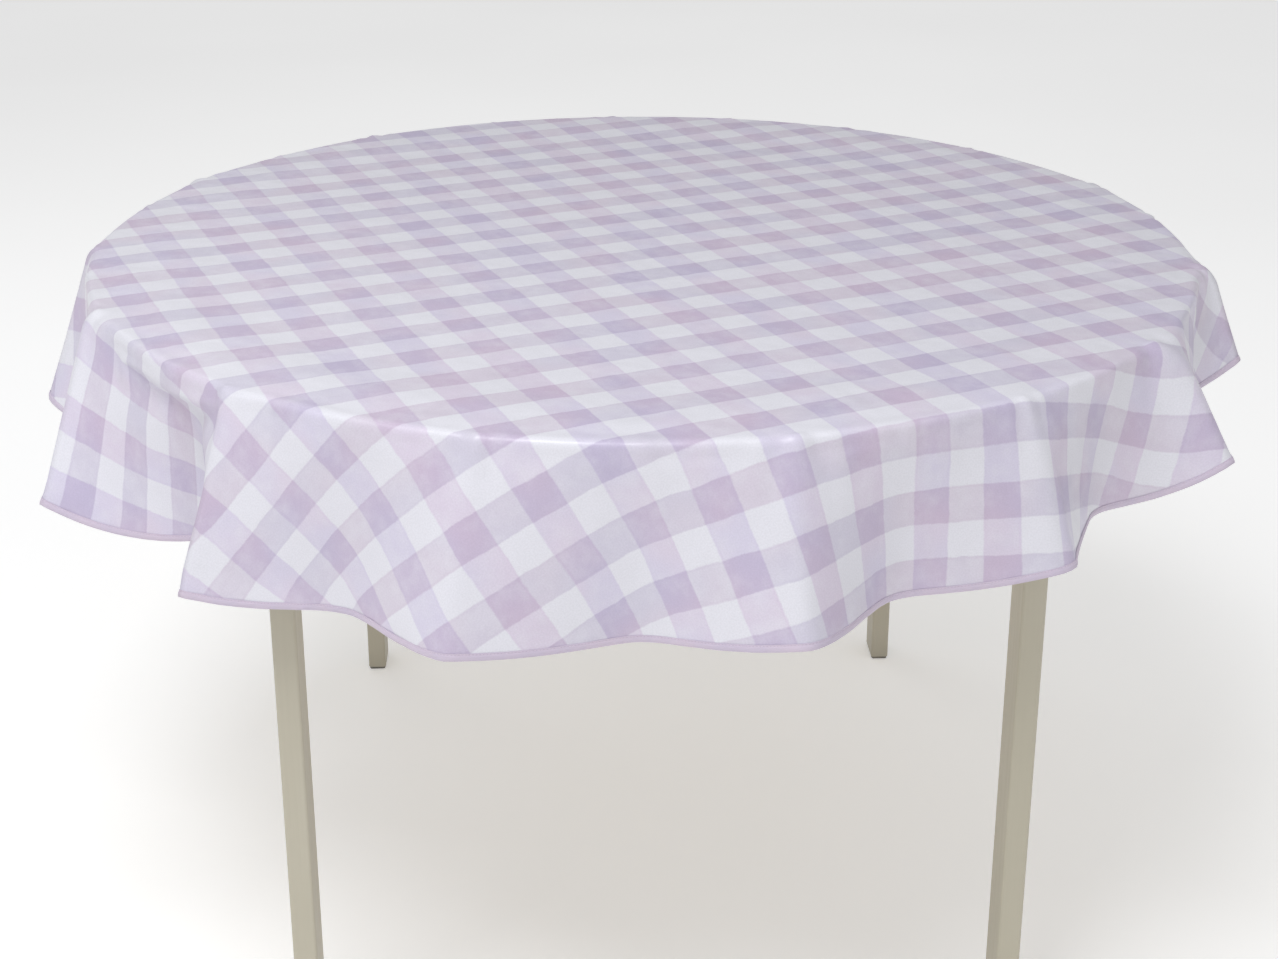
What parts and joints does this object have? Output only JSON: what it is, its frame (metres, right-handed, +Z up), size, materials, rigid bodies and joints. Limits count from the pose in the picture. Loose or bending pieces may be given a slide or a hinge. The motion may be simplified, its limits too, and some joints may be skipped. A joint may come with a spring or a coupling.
{
  "type": "round tablecloth on a table",
  "caption": "Round checked tablecloth with a bound hem, draped in soft cone folds over a round dining table on straight rectangular legs.",
  "frame": {"origin": "centre of the bounding box at floor level", "axes": "+Z up; +X to the right and -Y to the front as the laid table is looked at"},
  "size_m": [1.3796, 1.328, 0.7518],
  "materials": {
    "cloth_print": "wipe-clean coated cotton, lavender and white watercolour check, low sheen",
    "binding_tape": "folded bias tape, pink-lilac, stitched",
    "top_board": "round furniture board, sealed",
    "painted_wood": "warm grey satin paint on solid wood",
    "block_wood": "bare sawn softwood",
    "zinc_steel": "bright zinc plate",
    "screw_steel": "yellow zinc plate",
    "foot_plastic": "moulded grey glide"
  },
  "bodies": {
    "table": {"table_top": "top_board", "apron_rail_front": "painted_wood", "apron_rail_rear": "painted_wood", "apron_rail_left": "painted_wood", "apron_rail_right": "painted_wood", "leg_front_left": "painted_wood", "foot_pad_front_left": "foot_plastic", "corner_block_front_left": "block_wood", "leg_bolt_front_left": "zinc_steel", "washer_front_left": "zinc_steel", "nut_front_left": "zinc_steel", "top_screw_front_left_1": "screw_steel", "top_screw_front_left_2": "screw_steel", "leg_front_right": "painted_wood", "foot_pad_front_right": "foot_plastic", "corner_block_front_right": "block_wood", "leg_bolt_front_right": "zinc_steel", "washer_front_right": "zinc_steel", "nut_front_right": "zinc_steel", "top_screw_front_right_1": "screw_steel", "top_screw_front_right_2": "screw_steel", "leg_rear_left": "painted_wood", "foot_pad_rear_left": "foot_plastic", "corner_block_rear_left": "block_wood", "leg_bolt_rear_left": "zinc_steel", "washer_rear_left": "zinc_steel", "nut_rear_left": "zinc_steel", "top_screw_rear_left_1": "screw_steel", "top_screw_rear_left_2": "screw_steel", "leg_rear_right": "painted_wood", "foot_pad_rear_right": "foot_plastic", "corner_block_rear_right": "block_wood", "leg_bolt_rear_right": "zinc_steel", "washer_rear_right": "zinc_steel", "nut_rear_right": "zinc_steel", "top_screw_rear_right_1": "screw_steel", "top_screw_rear_right_2": "screw_steel"},
    "cloth": {"tablecloth": "cloth_print", "hem_binding": "binding_tape"}
  },
  "joints": [
    {"name": "cloth_lift", "type": "slide", "parent": "table", "child": "cloth", "axis": [0, 0, 1], "range_m": [0, 0.25]}
  ]
}
